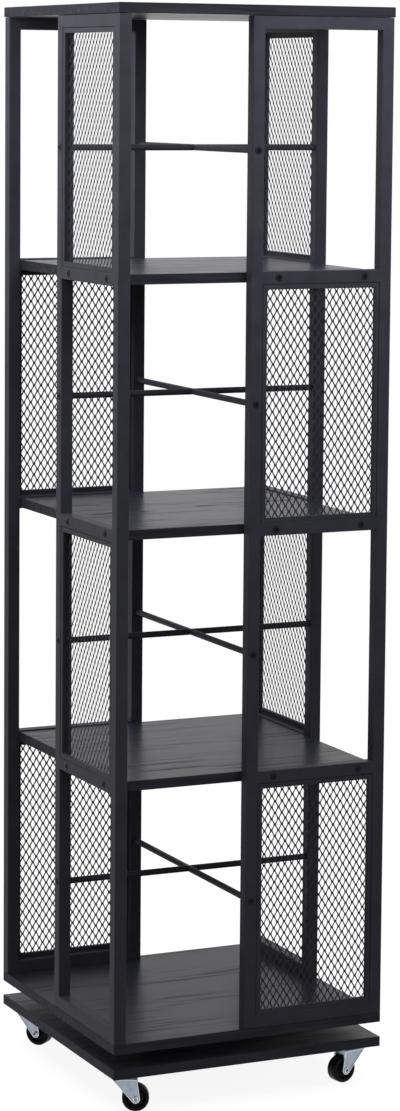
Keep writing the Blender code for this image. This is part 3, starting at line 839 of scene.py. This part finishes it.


# Shelves
# Three foiled boards that lie inside the frames, level with the middle rails.
# Two low round-headed bolts of blackened steel, with a hexagon socket painted darker as shade, hold them
# through each rail.
GRAIN_SHIFTS = {"shelf_1": (2.1, 8.0, 3.0), "shelf_2": (9.4, 4.0, 11.0), "shelf_3": (5.2, 15.0, 7.0)}
SHELF_BOLT_SPREAD = 0.056
BOLT_RADIUS = 0.0046
BOLT_HEIGHT = 0.0009
BOLT_DOME = ((0.52, 0.90), (0.74, 0.72), (0.90, 0.48), (1.0, 0.18), (1.0, 0.0))
BOLT_STEPS = 24
SOCKET_FLATS = 0.0038
SOCKET_DEPTH = 0.0006
SOCKET_REACH = 0.6 * SOCKET_FLATS
HEXAGON_SIDE = math.pi / 3
BOLT_BLACK = (0.0100, 0.0105, 0.0175, 1.0)
BOLT_WORN = (0.0170, 0.0176, 0.0270, 1.0)
SOCKET_SHADE_DARK = (0.0020, 0.0021, 0.0026, 1.0)
SOCKET_SHADE_PALE = (0.0045, 0.0046, 0.0056, 1.0)
OXIDE_SPECULAR = 0.08
OXIDE_NOISE = {"Scale": 600.0, "Detail": 3.0, "Roughness": 0.6}
OXIDE_COLOUR_STOPS = (0.35, 0.75)
OXIDE_SHEEN_STOPS = (0.3, 0.7)
OXIDE_ROUGHNESS = (0.32, 0.48)


def black_oxide(name, dark, pale):
    """Oiled black oxide on steel bolts: nearly black, satin, a little worn. With darker colours it is the
    painted shade in the hexagon sockets.
    """
    material, shader, coordinates = new_finish(name, OXIDE_SPECULAR)
    patches = noise(material, coordinates, OXIDE_NOISE)
    mottle(material, shader, patches, OXIDE_COLOUR_STOPS, dark, pale, OXIDE_SHEEN_STOPS, OXIDE_ROUGHNESS)
    return material


def bolt_head():
    """Low round head on the plane z = 0, rising along +Z, with a hexagon socket in the second material, a
    painted shade.
    """
    outside = dome(BOLT_DOME, BOLT_RADIUS, BOLT_HEIGHT)
    bm = turned([(SOCKET_FLATS / 2, BOLT_HEIGHT)] + outside, BOLT_STEPS, closed=False)
    mouth = [vert for vert in bm.verts if vert.co.xy.length < SOCKET_REACH]
    for vert in mouth:
        bearing = math.atan2(vert.co.y, vert.co.x)
        off_flat = (bearing + HEXAGON_SIDE / 2) % HEXAGON_SIDE - HEXAGON_SIDE / 2
        vert.co.xy = vert.co.xy.normalized() * SOCKET_FLATS / 2 / math.cos(off_flat)
    lip = [edge for edge in bm.edges if len(edge.link_faces) == 1 and edge.verts[0] in mouth]
    grown = bmesh.ops.extrude_edge_only(bm, edges=lip)["geom"]
    bmesh.ops.translate(bm, verts=of_kind(grown, bmesh.types.BMVert), vec=(0, 0, -SOCKET_DEPTH))
    close_openings(bm)
    for face in bm.faces:
        if all(vert.co.xy.length < SOCKET_REACH for vert in face.verts):
            face.material_index = 1
    return bm


def make_bolts(name, places):
    """One piece of all the bolt heads at points of the front frame's face, repeated on the four sides."""
    head = bolt_head()
    face_out = Matrix.Rotation(math.pi / 2, 4, "X")
    bm = bmesh.new()
    for turn in SIDE_TURNS.values():
        for x, z in places:
            seat = Matrix.Translation((x, frame_low.y, z))
            add_shape(bm, head, Matrix.Rotation(turn, 4, "Z") @ seat @ face_out)
    head.free()
    bolts = make_piece(name, bm, bolt_black, "tower", "black_powder_coat")
    bolts.data.materials.append(socket_painted_shade)


for node, shift in GRAIN_SHIFTS.items():
    make_board(node, "tower", shift)

bolt_black = black_oxide("black_oxide", BOLT_BLACK, BOLT_WORN)
# A darker black painted into the hexagon sockets as the shade inside them.
socket_painted_shade = black_oxide("socket_painted_shade", SOCKET_SHADE_DARK, SOCKET_SHADE_PALE)
window_middle = (upright_lines[1] + upright_lines[2]) / 2
shelf_bolts = []
for height in rail_heights[1:-1]:
    for x in (window_middle - SHELF_BOLT_SPREAD, window_middle + SHELF_BOLT_SPREAD):
        shelf_bolts.append((x, height))
make_bolts("shelf_bolts", shelf_bolts)


# Cross braces
# Two steel rods welded into a cross at half the height of each level and powder coated.
# Their ends meet the middle uprights, where a round-headed bolt holds each one from outside.
BRACE_RADIUS = 0.00375
BRACE_STEPS = 24


def brace_arm(reach):
    """A quarter of the cross along +X, its inner end mitred on both sides to meet its neighbours."""
    bm = bmesh.new()
    aim = Matrix.Translation((reach / 2, 0, 0)) @ Matrix.Rotation(math.pi / 2, 4, "Y")
    bmesh.ops.create_cone(
        bm,
        cap_ends=True,
        segments=BRACE_STEPS,
        radius1=BRACE_RADIUS,
        radius2=BRACE_RADIUS,
        depth=reach + 4 * BRACE_RADIUS,
        matrix=aim,
    )
    for side in (1, -1):
        cut_off(bm, (0, 0, 0), (-1, side, 0))
    cut_off(bm, (reach, 0, 0), (1, 0, 0))
    return bm


for level in range(1, LEVELS + 1):
    node = f"cross_brace_{level}"
    low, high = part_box(node)
    arm = brace_arm(high.x)
    bm = bmesh.new()
    for quarter in range(4):
        turn = Matrix.Rotation(quarter * math.pi / 2, 4, "Z")
        add_shape(bm, arm, Matrix.Translation((0, 0, (low.z + high.z) / 2)) @ turn)
    arm.free()
    bmesh.ops.remove_doubles(bm, verts=bm.verts, dist=WELD_DISTANCE)
    close_openings(bm)
    make_piece("welded_" + node, bm, coat, "tower", "black_powder_coat", node)

upright_middle = (upright_lines[0] + upright_lines[1]) / 2
brace_heights = [(low + high) / 2 for low, high in zip(rail_heights, rail_heights[1:])]
make_bolts("brace_bolts", [(upright_middle, height) for height in brace_heights])


# Top board
# The same foiled board, a millimetre larger all round, held down on the four frames by hidden screws.
# It closes the tower and is a surface of its own.
make_board("top_board", "tower", (12.6, 6.0, 2.0))


# Studio
# A pale floor, white surroundings and four soft lamps round the top, placed by degrees from the front. They
# leave no mirror image and fade towards the floor. The camera stands where the photograph was taken from.
PHOTO_HEIGHT = 1111
WHITE = (1.0, 1.0, 1.0, 1.0)
FLOOR_SIZE = 60.0
FLOOR_COLOUR = (0.20, 0.20, 0.20, 1.0)
FLOOR_ROUGHNESS = 0.9
FLOOR_GLOW = 0.905
AMBIENT = 0.48
LAMP_BEARINGS = {"front_lamp": 13, "right_lamp": 103, "back_lamp": 193, "left_lamp": 274}
LAMP_WATTS = {"front_lamp": 4.9, "right_lamp": 4.9, "back_lamp": 4.9, "left_lamp": 6.2}
LAMP_REACH = 0.72
LAMP_HEIGHT = 1.47
LAMP_SIZE = 0.5
LAMP_TARGET = Vector((0.0, 0.0, 1.25))
CAMERA_PLACE = (-1.64769, -3.55178, 1.19803)
CAMERA_YAW = 0.4367
CAMERA_PITCH = 0.1065
CAMERA_ROLL = 0.0084
FOCAL_PIXELS = 3256.27
OPTICAL_CENTRE_ROW = 433.0
SENSOR = 36.0


def seen_directly(tree):
    """1 for camera, glossy and transmission rays, 0 for the rays that light the object."""
    path = tree.nodes.new("ShaderNodeLightPath")
    seen = path.outputs["Is Camera Ray"]
    for ray in ("Is Glossy Ray", "Is Transmission Ray"):
        either = tree.nodes.new("ShaderNodeMath")
        either.operation = "MAXIMUM"
        tree.links.new(seen, either.inputs[0])
        tree.links.new(path.outputs[ray], either.inputs[1])
        seen = either.outputs["Value"]
    return seen


def strength_by_ray(tree, unseen, seen, target):
    """Feed a strength socket: one value for light rays, another where the surface is seen."""
    choice = tree.nodes.new("ShaderNodeMapRange")
    choice.inputs["To Min"].default_value = unseen
    choice.inputs["To Max"].default_value = seen
    tree.links.new(seen_directly(tree), choice.inputs["Value"])
    tree.links.new(choice.outputs["Result"], target)


scene = bpy.context.scene
scene.view_settings.view_transform = "Standard"

world = bpy.data.worlds.new("white_surroundings")
world.use_nodes = True
background = world.node_tree.nodes["Background"]
background.inputs["Color"].default_value = WHITE
strength_by_ray(world.node_tree, AMBIENT, 1.0, background.inputs["Strength"])
scene.world = world

floor_finish = bpy.data.materials.new("pale_floor")
floor_finish.use_nodes = True
floor_shader = floor_finish.node_tree.nodes["Principled BSDF"]
floor_shader.inputs["Base Color"].default_value = FLOOR_COLOUR
floor_shader.inputs["Roughness"].default_value = FLOOR_ROUGHNESS
floor_shader.inputs["Specular IOR Level"].default_value = 0.0
floor_shader.inputs["Emission Color"].default_value = WHITE
strength_by_ray(floor_finish.node_tree, 0.0, FLOOR_GLOW, floor_shader.inputs["Emission Strength"])
bm = bmesh.new()
bmesh.ops.create_grid(bm, x_segments=1, y_segments=1, size=FLOOR_SIZE / 2)
floor_mesh = bpy.data.meshes.new("studio_floor")
bm.to_mesh(floor_mesh)
bm.free()
floor_mesh.materials.append(floor_finish)
studio_floor = bpy.data.objects.new("studio_floor", floor_mesh)
scene.collection.objects.link(studio_floor)

for name, degrees in LAMP_BEARINGS.items():
    lamp = bpy.data.lights.new(name, "AREA")
    lamp.shape = "SQUARE"
    lamp.size = LAMP_SIZE
    lamp.energy = LAMP_WATTS[name]
    holder = bpy.data.objects.new(name, lamp)
    bearing = Matrix.Rotation(math.radians(degrees), 3, "Z")
    holder.location = bearing @ Vector((0.0, -LAMP_REACH, LAMP_HEIGHT))
    holder.rotation_euler = (LAMP_TARGET - holder.location).to_track_quat("-Z", "Y").to_euler()
    holder.visible_camera = False
    holder.visible_glossy = False
    scene.collection.objects.link(holder)

ahead = Vector((math.sin(CAMERA_YAW), math.cos(CAMERA_YAW), 0.0))
forward = math.cos(CAMERA_PITCH) * ahead - Vector((0.0, 0.0, math.sin(CAMERA_PITCH)))
level_right = Vector((math.cos(CAMERA_YAW), -math.sin(CAMERA_YAW), 0.0))
level_up = level_right.cross(forward)
right = math.cos(CAMERA_ROLL) * level_right + math.sin(CAMERA_ROLL) * level_up
up = math.cos(CAMERA_ROLL) * level_up - math.sin(CAMERA_ROLL) * level_right
lens = bpy.data.cameras.new("photo_camera")
lens.sensor_width = SENSOR
lens.lens = FOCAL_PIXELS / PHOTO_HEIGHT * SENSOR
lens.shift_y = (OPTICAL_CENTRE_ROW - PHOTO_HEIGHT / 2) / PHOTO_HEIGHT
camera = bpy.data.objects.new("photo_camera", lens)
camera.rotation_mode = "QUATERNION"
camera.rotation_quaternion = Matrix((right, up, -forward)).transposed().to_quaternion()
camera.location = CAMERA_PLACE
scene.collection.objects.link(camera)
scene.camera = camera
